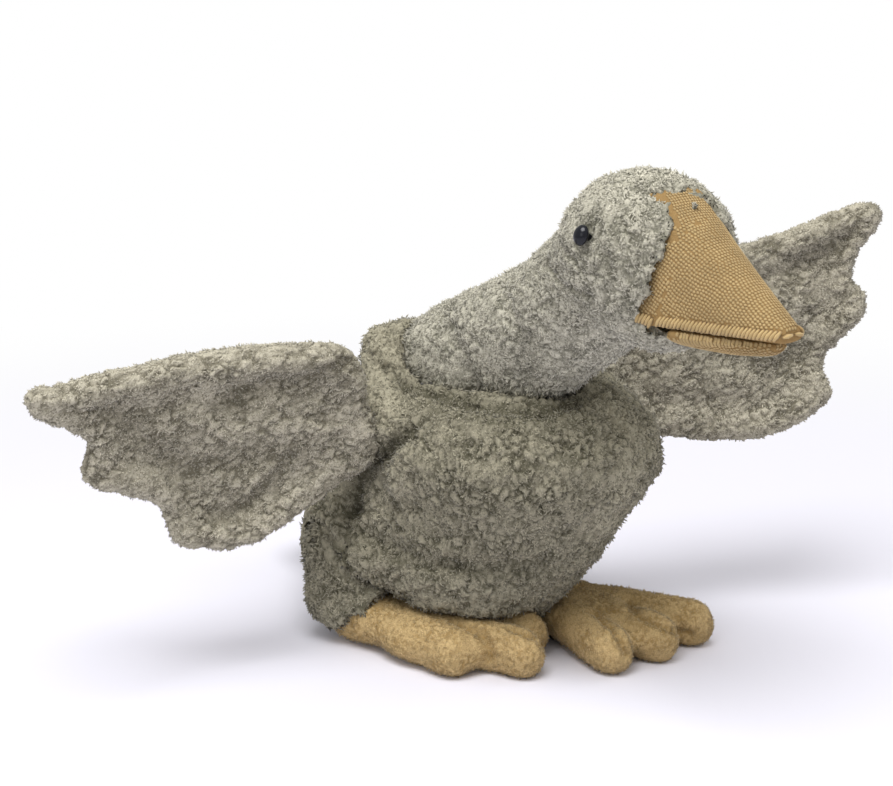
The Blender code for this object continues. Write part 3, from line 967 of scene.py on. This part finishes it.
@dataclass
class WingSkin(Skin):
    """A wing: a flat stuffed panel with a thick fluffy rim."""

    spread: float = 1.04
    rim: float = 11 * MM
    rim_swell: float = 2.2 * MM
    hollow: float = 3.0 * MM
    flat_facing: float = 0.35
    edge: KDTree = field(default=None, init=False)

    def _edge_gap(self, points: np.ndarray) -> np.ndarray:
        """Works out how far each point is from the wing's outline.

        Args:
            points: the places.

        Returns:
            The distances along the wing.
        """
        if self.edge is None:
            centre = points.mean(axis=0)
            _, _, axes = np.linalg.svd(points - centre, full_matrices=False)
            side = np.abs(normals_of(self.cloth.data) @ axes[2]) < self.flat_facing
            self.edge = KDTree(int(side.sum()))
            for index in np.nonzero(side)[0]:
                self.edge.insert(Vector(points[index]), int(index))
            self.edge.balance()
        return np.array([self.edge.find(Vector(p))[2] for p in points])

    def _fold(self) -> None:
        """Raises the rim and lets the middle fall in."""
        super()._fold()
        mesh = self.cloth.data
        points, normals = points_of(mesh), normals_of(mesh)
        gap = self._edge_gap(points) / self.rim
        push = self.rim_swell * bell(gap, 0.5, 0.4) - self.hollow * bell(gap, 1.5, 0.55)
        place_points(mesh, points + normals * push[:, None])

    def _sink(self) -> None:
        """Spreads the wing a little from its root, then draws the cloth in."""
        points = points_of(self.cloth.data)
        root = points[self._gap(points, self.neighbours)[0] < 1.0].mean(axis=0)
        place_points(self.cloth.data, root + (points - root) * self.spread)
        super()._sink()

    def reach(self, points: np.ndarray) -> np.ndarray:
        """Returns: shorter pile on the rim, for a soft outline. Args: points, the places."""
        return 1.0 - 0.4 * bell(self._edge_gap(points), 0.0, 0.5 * self.rim)

    def light(self, points: np.ndarray) -> np.ndarray:
        """Returns: painted shade over the wing, less along the rim, so the hollow's middle is darker. Args:
        points, the places.
        """
        return 0.06 * bell(self._edge_gap(points), 0.0, self.rim) - 0.1


# In these tables a fold's fourth number (-0.5 if left out) is its painted light: below 0 painted shade in the
# fold, above 0 painted light on a roll; a fold of no depth is a strip of painted shade or light alone.
TORSO_FOLDS = (
    Crease(((362, 345), (380, 365), (405, 387), (450, 399), (495, 409), (540, 411), (595, 393)), 2.8, 3.4),
    Crease(((408, 434), (388, 449), (374, 462), (357, 480), (352, 507)), 4.6, 4.0, -0.8),
    Crease(((352, 507), (338, 559), (343, 576), (366, 588), (404, 600)), 3.2, 4.0, -0.4),
    Crease(((362, 532), (395, 550), (430, 565), (495, 571), (540, 566)), 3.8, 4.6, -0.25),
    Crease(((440, 402), (500, 420), (560, 418)), 0.0, 7.0, -0.35),
    Crease(((404, 458), (400, 488)), -2.6, 6.0, 0.5),
    Crease(((372, 358), (384, 395), (386, 425)), -2.6, 8.0, 0.45),
    Crease(((360, 480), (372, 515)), 0.0, 9.0, 0.35),
    Crease(((370, 335), (398, 348)), 0.0, 11.0, 0.6),
    Crease(((610, 405), (645, 440), (625, 490), (600, 530)), 0.0, 9.0, 0.5),
)
HEAD_FOLDS = (
    Crease(((546, 262), (562, 284), (590, 298)), 1.7, 1.5, -0.3),
    Crease(((560, 244), (574, 262)), 1.5, 1.4, -0.3),
    Crease(((604, 250), (612, 280), (603, 312)), 1.5, 1.6, -0.3),
    Crease(((584, 222), (588, 236), (584, 252)), 0.0, 3.0, -0.4),
    Crease(((500, 290), (520, 335), (528, 385)), 1.9, 4.5, -0.15),
    Crease(((440, 318), (462, 355), (480, 395)), 1.9, 4.5, -0.15),
    Crease(((646, 285), (650, 330)), -2.0, 4.5, 0.0),
    Crease(((684, 203), (692, 201), (700, 203)), 2.6, 3.0, 0.0),
    Crease(((600, 215), (625, 260)), 0.0, 9.0, -0.2),
)
RIGHT_WING_FOLDS = (
    Crease(((350, 363), (311, 377), (267, 382), (237, 404)), 2.4, 4.5, -0.35),
    Crease(((118, 412), (152, 446), (190, 466), (225, 464), (270, 458)), 2.2, 5.0, -0.25),
    Crease(((292, 457), (252, 505), (214, 520)), 1.8, 2.6, -0.35),
    Crease(((215, 385), (193, 415), (222, 433), (289, 428), (360, 426)), -2.0, 5.0, 0.12),
    Crease(((355, 440), (300, 490), (257, 530), (225, 535)), -1.8, 4.5, 0.12),
)
LEFT_WING_FOLDS = (
    Crease(((720, 352), (770, 372), (810, 350)), 2.4, 6.0, -0.25),
    Crease(((760, 250), (800, 262), (845, 240)), 2.0, 5.0, -0.2),
)
RIGHT_TOE_GROOVES = (
    Crease(((455, 622), (480, 632), (488, 643), (489, 660)), 3.0, 2.2),
    Crease(((512, 628), (537, 637), (547, 652)), 2.8, 2.2),
)
LEFT_TOE_GROOVES = (
    Crease(((595, 612), (615, 628), (628, 652)), 3.0, 2.6),
    Crease(((630, 602), (640, 615), (672, 630), (690, 635)), 2.8, 2.6),
)

LONG_PILE = {"finish": SHADED_BODY_PLUSH, "width": 0.75 * MM, "spacing": 1.1 * MM}


def wing(side: str, flow: tuple[float, float, float], folds: tuple[Crease, ...], **more: float) -> WingSkin:
    """Describes a wing's skin.

    Args:
        side: left or right.
        flow: the way its pile lies.
        folds: its folds.
        more: its pile's seed and how far it spreads.

    Returns:
        The skin.
    """
    look = {"length": 1.7 * MM, "width": 0.6 * MM, "spacing": 1.02 * MM, "clump": 3.4 * MM, "flow_pull": 0.6}
    pile = Pile(GREY_PLUSH, flow=flow, seed=more.pop("seed"), **look)
    cloth = {"detail": 3.2 * MM, "crinkle": 1.6 * MM, "stretch": 0.5, "neighbours": ("torso",)}
    return WingSkin(f"{side}_wing", pile, "grey_plush", creases=folds, **cloth, **more)


def leg(side: str, seed: int) -> Skin:
    """Returns: a leg's skin. Args: side, left or right; seed, of its pile."""
    pile = Pile(**LONG_PILE, length=2.0 * MM, clump=4.0 * MM, disorder=0.8, seed=seed)
    return Skin(f"{side}_leg", pile, "grey_plush", neighbours=("torso", f"{side}_foot"))


def foot(side: str, seed: int, grooves: tuple[Crease, ...]) -> Skin:
    """Describes a foot's skin.

    Args:
        side: left or right.
        seed: its pile's seed.
        grooves: the stitched lines between its toes.

    Returns:
        The skin.
    """
    size = {"length": 1.1 * MM, "width": 0.5 * MM, "spacing": 0.85 * MM, "clump": 2.2 * MM}
    lie = {"flow": (0.0, -1.0, 0.0), "flow_pull": 0.2, "clump_pull": 0.4, "disorder": 0.9}
    pile = Pile(OCHRE_PLUSH, seed=seed, **size, **lie)
    cloth = {"detail": 2.4 * MM, "finer": 1, "crinkle": 0.35 * MM, "sink": 0.8 * MM, "lumps": 0.3 * MM}
    return Skin(f"{side}_foot", pile, "ochre_plush", creases=grooves, neighbours=(f"{side}_leg",), **cloth)


SKINS = (
    Skin(
        "torso",
        Pile(SHADED_BODY_PLUSH, 1.7 * MM, 0.65 * MM, 1.32 * MM, clump=3.4 * MM, flow_pull=0.4, seed=3),
        "grey_plush",
        detail=3.5 * MM,
        sink=1.5 * MM,
        crinkle=1.8 * MM,
        creases=TORSO_FOLDS,
        lumps=1.4 * MM,
        neighbours=("neck_and_head", "right_wing", "left_wing", "tail", "right_leg", "left_leg"),
    ),
    Skin(
        "neck_and_head",
        Pile(LIT_HEAD_PLUSH, 1.7 * MM, 0.6 * MM, 1.08 * MM, 3.4 * MM, 5, disorder=0.8, flow=(0.0, 1.0, -0.6)),
        "grey_plush",
        detail=3.3 * MM,
        sink=1.3 * MM,
        crinkle=1.2 * MM,
        creases=HEAD_FOLDS,
        clear_of=("upper_beak", "lower_beak", "right_eye", "left_eye"),
        neighbours=("torso",),
    ),
    wing("right", (-0.95, 0.1, -0.3), RIGHT_WING_FOLDS, seed=7),
    wing("left", (0.9, -0.3, 0.2), LEFT_WING_FOLDS, seed=9, spread=1.06),
    Skin(
        "tail",
        Pile(**LONG_PILE, length=2.1 * MM, clump=4.2 * MM, flow=(0.0, 1.0, 0.0), flow_pull=0.5, seed=11),
        "grey_plush",
        neighbours=("torso",),
    ),
    leg("right", 13),
    leg("left", 15),
    foot("right", 17, RIGHT_TOE_GROOVES),
    foot("left", 19, LEFT_TOE_GROOVES),
)


class StitchTree(GrowthTree):
    """The node group that sets a bead on every point, turned to its own row."""

    NAME = "stitches"
    INPUTS = (("Stitch", "NodeSocketObject"), ("Material", "NodeSocketMaterial"))

    def _wire(self, g: Graph, skin: Wire, given: dict[str, Wire]) -> tuple[Wire, Wire, Wire]:
        """Lays out the nodes that set the stitches.

        Args:
            g: the group's graph.
            skin: the points.
            given: the group's inputs, by name.

        Returns:
            The stitches, with their shade across and their height up.
        """
        facing, row, size = (g.read(name, "FLOAT_VECTOR") for name in ("facing", "row", "size"))
        upright = g.add("FunctionNodeAlignRotationToVector", {"Vector": facing}, axis="Z")
        feeds = {"Rotation": upright, "Vector": row}
        turned = g.add("FunctionNodeAlignRotationToVector", feeds, axis="X", pivot_axis="Z")
        bead = g.add("GeometryNodeObjectInfo", {"Object": given["Stitch"]}, "Geometry")
        feeds = {"Points": skin, "Instance": bead, "Rotation": turned, "Scale": size}
        grown = g.add("GeometryNodeInstanceOnPoints", feeds)
        real = g.add("GeometryNodeRealizeInstances", {"Geometry": grown})
        # Up each stitch from the gap colour, darker as painted shade, to the knit's own colour.
        return real, g.read("shade"), g.read("height") * 0.94 + 0.03


ARC_STEPS = 180
OUTSIDE = 0.08
RIM_FACING, INNER_FACING = -0.5, -0.7


@dataclass
class Knit:
    """One half of the beak: a firm stuffed shape in fine knitting, with or without a rolled rim."""

    node: str
    outward: int
    rim: float = 0.0
    pitch: float = 1.32 * MM
    sink: float = 0.1 * MM
    bead_height: float = 0.32 * MM
    rim_depth: float = 1.3 * MM
    base_swell: float = 0.0
    base_reach: float = 0.0
    top_sink: float = 0.0
    thread: float = 1.5 * MM
    tip_gap: float = 0.2 * MM
    rim_share: float = 0.62
    rim_shade: float = 0.22

    def build(self, stitches: StitchTree, stitch: bpy.types.Object) -> None:
        """Makes the beak's cloth and its stitches.

        Args:
            stitches: the stitches' node group.
            stitch: the bead to repeat.
        """
        cloth = woven(self.node, KNITTED, self.thread, 7)
        place_points(cloth.data, points_of(cloth.data) - normals_of(cloth.data) * self.sink)
        self._seat(cloth.data)
        knit = new_object(f"{self.node}_knit", self._rows(cloth))
        stitches.run(knit, {"Stitch": stitch, "Material": KNITTED.plush()})
        for item in (cloth, knit):
            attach(item, "root")
        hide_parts(self.node)
        log.info("%s: %d stitch faces", self.node, len(knit.data.polygons))

    def _axis(self, points: np.ndarray) -> Vector:
        """Returns: the way the beak points. Args: points, the beak's points."""
        axis = Vector(np.linalg.svd(points - points.mean(axis=0), full_matrices=False)[2][0])
        return -axis if axis.y > 0 else axis

    def _seat(self, mesh: bpy.types.Mesh) -> None:
        """Widens the base's flanks and sets them back into the head's pile. Args: mesh, the beak's cloth."""
        points, normals = points_of(mesh), normals_of(mesh)
        axis = np.array(self._axis(points))
        along = points @ axis
        base = 1.0 - (along - along.min()) / (along.max() - along.min())
        high = np.clip((points[:, 2] - points[:, 2].min()) / np.ptp(points[:, 2]) * 1.6 - 0.5, -0.8, 1.0)
        flank = np.abs(normals[:, 0])
        out = base**2 * (self.base_swell * high * flank - self.top_sink * (1 - flank))
        back = self.base_reach * base**3 * high * flank
        place_points(mesh, points + normals * out[:, None] - axis * back[:, None])

    def _rows(self, cloth: bpy.types.Object) -> bpy.types.Mesh:
        """Lays the stitches in courses round the beak and rows along it.

        Args:
            cloth: the beak's cloth.

        Returns:
            A mesh of loose points, each with the way it faces, its row, its size and its shade.
        """
        points = points_of(cloth.data)
        centre = points.mean(axis=0)
        axis = self._axis(points)
        up = (Vector((0, 0, 1)) - axis * axis.z).normalized()
        side = axis.cross(up)
        along = (points - centre) @ np.array(axis)
        tree = tree_of(cloth.data)
        head = solid_tree("neck_and_head")
        spots, facing, rows, sizes, shades = [], [], [], [], []
        middle = Vector(centre)
        for course in np.arange(along.min() + self.pitch / 2, along.max() - self.tip_gap, self.pitch):
            slab = points[np.abs(along - course) < self.pitch]
            if len(slab) < 4:
                continue
            hub = Vector(slab.mean(axis=0))
            hub += axis * (course - (hub - middle).dot(axis))
            low = slab[:, 2].min()
            for turn in (1, -1):
                gone, last, due, rolled = 0.0, None, 0.0 if turn == 1 else self.pitch, not self.rim
                for step in range(ARC_STEPS + 1):
                    angle = math.pi * step / ARC_STEPS
                    ray = up * math.cos(angle) + side * math.sin(angle) * turn
                    place, normal, _, _ = tree.ray_cast(hub + ray * OUTSIDE, -ray)
                    if place is None:
                        continue
                    gone += (place - last).length if last else 0.0
                    last = place
                    in_rim = self.rim and normal.z > RIM_FACING and place.z < low + self.rim
                    if gone < due and not (in_rim and not rolled):
                        continue
                    if normal.z * self.outward < INNER_FACING or buried(head, place):
                        continue
                    shade = 0.4 + 0.2 * noise.noise(place * 700) + 0.25 * noise.noise(place * 110)
                    size = (self.pitch * 1.12, self.pitch * 0.88, self.bead_height)
                    if in_rim:
                        if rolled or place.z > low + self.rim * self.rim_share:
                            continue
                        rolled, shade = True, shade + self.rim_shade
                        size = (self.pitch * 1.25, self.rim, self.rim_depth)
                    else:
                        due += self.pitch
                    spots.append(place)
                    facing.append(normal)
                    rows.append(axis - normal * axis.dot(normal))
                    sizes.append(size)
                    shades.append(shade)
        mesh = bpy.data.meshes.new(f"{self.node}_rows")
        mesh.from_pydata(spots, [], [])
        for name, values in (("facing", facing), ("row", rows), ("size", sizes), ("shade", shades)):
            vector = name != "shade"
            made = mesh.attributes.new(name, "FLOAT_VECTOR" if vector else "FLOAT", "POINT")
            made.data.foreach_set("vector" if vector else "value", np.ravel(values).astype(np.float32))
        return mesh


BEAKS = (
    Knit("upper_beak", 1, rim=5.4 * MM, base_swell=3.2 * MM, base_reach=4 * MM, top_sink=0.4 * MM),
    Knit("lower_beak", -1, sink=-0.9 * MM),
)


@dataclass
class Bead:
    """A glossy bead eye."""

    node: str
    squash: float = 0.85
    shift: Vector = field(default_factory=lambda: Vector((0.0, -0.3 * MM, -0.8 * MM)))

    def build(self) -> None:
        """Makes the bead."""
        bead = new_object(f"{self.node}_bead", sealed_copy(self.node))
        middle = points_of(bead.data).mean(axis=0)
        offsets = (points_of(bead.data) - middle) * (1.0, self.squash, 1.0)
        place_points(bead.data, middle + np.array(self.shift) + offsets)
        smooth = bead.modifiers.new("round", "SUBSURF")
        smooth.levels = smooth.render_levels = 1
        settle(bead)
        bead.data.shade_smooth()
        material, graph, inputs = new_material("black bead", {"Specular IOR Level": 0.35})
        place = graph.add("ShaderNodeTexCoord", out="Object")
        haze = graph.add("ShaderNodeTexNoise", {"Vector": place, "Scale": 300.0})
        graph.feed(inputs["Roughness"], haze * 0.1 + 0.12)
        inputs["Base Color"].default_value = Colour.BEAD.linear()
        bead.data.materials.clear()
        bead.data.materials.append(material)
        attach(bead, "root")
        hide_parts(self.node)
        log.info("%s: bead", self.node)


@dataclass
class Room:
    """The pale floor, the soft lamps and the white surroundings."""

    reach: float = 6.0
    lamp_power: float = 15.0
    fill_power: float = 1.6
    sky: float = 0.6
    sky_tint: tuple[float, float, float, float] = (1.0, 0.99, 0.965, 1.0)
    glow_start: float = 0.22
    glow_end: float = 0.7

    def build(self) -> None:
        """Adds the floor, the lamps and the sky."""
        mesh = bpy.data.meshes.new("floor")
        corners = [(x * self.reach, y * self.reach, 0) for x, y in ((-1, -1), (1, -1), (1, 1), (-1, 1))]
        mesh.from_pydata(corners, [], [(0, 1, 2, 3)])
        floor = new_object("floor", mesh)
        material, graph, inputs = new_material("pale floor", {"Roughness": 0.9, "Specular IOR Level": 0.0})
        inputs["Base Color"].default_value = Colour.FLOOR.linear()
        place = graph.add("ShaderNodeTexCoord", out="Object")
        flat = graph.add("ShaderNodeVectorMath", {0: place, 1: (1.0, 1.0, 0.0)}, operation="MULTIPLY")
        away = graph.add("ShaderNodeVectorMath", {0: flat}, "Value", operation="LENGTH")
        far = graph.ease(away, self.glow_start, self.glow_end)
        seen = graph.add("ShaderNodeLightPath", out="Is Camera Ray")
        glow = graph.add("ShaderNodeEmission", {"Color": WHITE, "Strength": 1.0})
        shader = Wire(graph, material.node_tree.nodes["Principled BSDF"].outputs[0])
        mixed = graph.add("ShaderNodeMixShader", {0: far * seen, 1: shader, 2: glow})
        graph.feed(material.node_tree.nodes["Material Output"].inputs["Surface"], mixed)
        mesh.materials.append(material)
        floor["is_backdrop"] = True
        for name, place, size, power in (
            ("overhead", (-0.35, -0.25, 1.3), 0.9, self.lamp_power),
            ("left", (-1.3, -0.7, 0.8), 0.8, self.fill_power),
            ("right", (1.2, -0.3, 0.9), 0.8, self.fill_power),
        ):
            data = bpy.data.lights.new(name, "AREA")
            data.shape, data.size, data.energy = "DISK", size, power
            lamp = bpy.data.objects.new(name, data)
            lamp.location = place
            lamp.rotation_euler = (CAMERA_TARGET - Vector(place)).to_track_quat("-Z", "Y").to_euler()
            bpy.context.scene.collection.objects.link(lamp)
        self._sky()

    def _sky(self) -> None:
        """Makes the surroundings white to the eye and soft as light."""
        world = bpy.data.worlds.new("white room")
        bpy.context.scene.world = world
        world.use_nodes = True
        graph = Graph(world.node_tree)
        ray = graph.add("ShaderNodeLightPath", out="Is Camera Ray")
        inputs = world.node_tree.nodes["Background"].inputs
        graph.feed(inputs["Color"], graph.blend(ray, self.sky_tint, WHITE))
        graph.feed(inputs["Strength"], ray * (1.0 - self.sky) + self.sky)


def view_settings() -> None:
    """Sets plain colour handling."""
    scene = bpy.context.scene
    scene.render.engine = "CYCLES"
    scene.view_settings.view_transform = "Standard"
    scene.render.resolution_x, scene.render.resolution_y = PHOTO_WIDTH, PHOTO_HEIGHT


def write_size(name: str, sizes: dict) -> None:
    """Args: name, the stage; sizes, what is written so far."""
    low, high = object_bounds()
    sizes[name] = [list(low), list(high)]


def main() -> None:
    """Builds the looks piece by piece."""
    logging.basicConfig(level=logging.INFO, format="%(message)s")
    noise.seed_set(NOISE_SEED)
    sizes: dict = {}
    write_size("loaded", sizes)
    view_settings()
    CAMERA.build()
    Room().build()
    grower, stitches = PileTree(), StitchTree()
    tuft, stitch = tuft_shape(0.8), stitch_shape()
    for skin in SKINS:
        skin.build(grower, tuft)
    for beak in BEAKS:
        beak.build(stitches, stitch)
    for node in ("right_eye", "left_eye"):
        Bead(node).build()
    for shape in (tuft, stitch):
        bpy.data.objects.remove(shape)
    write_size("finished", sizes)


if __name__ == "__main__":
    main()
